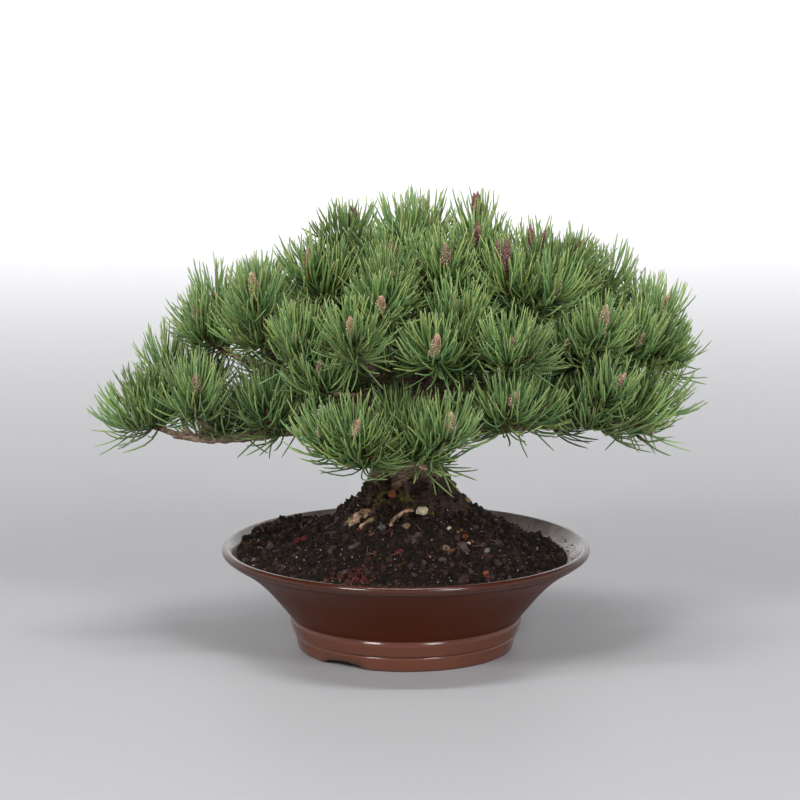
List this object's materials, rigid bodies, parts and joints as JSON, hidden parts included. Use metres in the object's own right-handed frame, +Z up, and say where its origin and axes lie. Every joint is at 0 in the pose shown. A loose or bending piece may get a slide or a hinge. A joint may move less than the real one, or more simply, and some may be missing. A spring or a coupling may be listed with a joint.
{
  "type": "bonsai tree in a pot",
  "caption": "Broad, domed pine bonsai with a short flared trunk and long-needled shoots, growing in a mound of dark soil in a low, round, flared pot with a rounded lip and a notched foot.",
  "frame": {"origin": "middle of the bottom of the whole object's box, on the surface that the pot stands on", "axes": "+Z up; +X along the crown's longest spread, to the viewer's right; -Y towards the viewer of the front"},
  "size_m": [0.4944, 0.3226, 0.3793],
  "materials": {
    "pot": "semi-gloss reddish brown, moulded, a little dusty inside the lip",
    "soil": "dark crumbly humus with bark chips, pumice and red lava grains",
    "bark": "rough grey-brown pine bark, mossy at the foot",
    "needles": "stiff, slightly waxy mid-green needles with reddish-brown resinous buds"
  },
  "bodies": {
    "root": {"pot": "pot", "soil": "soil", "trunk_and_branches": "bark", "spray_back_centre_1": "needles", "spray_back_left_1": "needles", "spray_back_left_2": "needles", "spray_back_right_1": "needles", "spray_back_right_2": "needles", "spray_back_right_3": "needles", "spray_front_centre_1": "needles", "spray_front_left_1": "needles", "spray_front_left_2": "needles", "spray_front_right_1": "needles", "spray_front_right_2": "needles", "spray_front_right_3": "needles", "spray_high_left_1": "needles", "spray_high_left_2": "needles", "spray_high_left_3": "needles", "spray_high_left_4": "needles", "spray_high_left_5": "needles", "spray_high_right_1": "needles", "spray_high_right_2": "needles", "spray_high_right_3": "needles", "spray_high_right_4": "needles", "spray_high_right_5": "needles", "spray_leader_1": "needles", "spray_leader_2": "needles", "spray_leader_3": "needles", "spray_low_left_1": "needles", "spray_low_left_2": "needles", "spray_low_left_3": "needles", "spray_low_left_4": "needles", "spray_low_left_5": "needles", "spray_low_right_1": "needles", "spray_low_right_2": "needles", "spray_low_right_3": "needles", "spray_mid_left_1": "needles", "spray_mid_left_2": "needles", "spray_mid_left_3": "needles", "spray_mid_left_4": "needles", "spray_mid_left_5": "needles", "spray_mid_right_1": "needles", "spray_mid_right_2": "needles", "spray_mid_right_3": "needles", "spray_mid_right_4": "needles", "spray_upper_back_1": "needles", "spray_upper_back_2": "needles", "spray_upper_back_left_1": "needles", "spray_upper_back_left_2": "needles", "spray_upper_back_left_3": "needles", "spray_upper_front_1": "needles", "spray_upper_front_2": "needles", "spray_upper_front_left_1": "needles", "spray_upper_front_left_2": "needles", "spray_upper_front_left_3": "needles"}
  },
  "joints": []
}
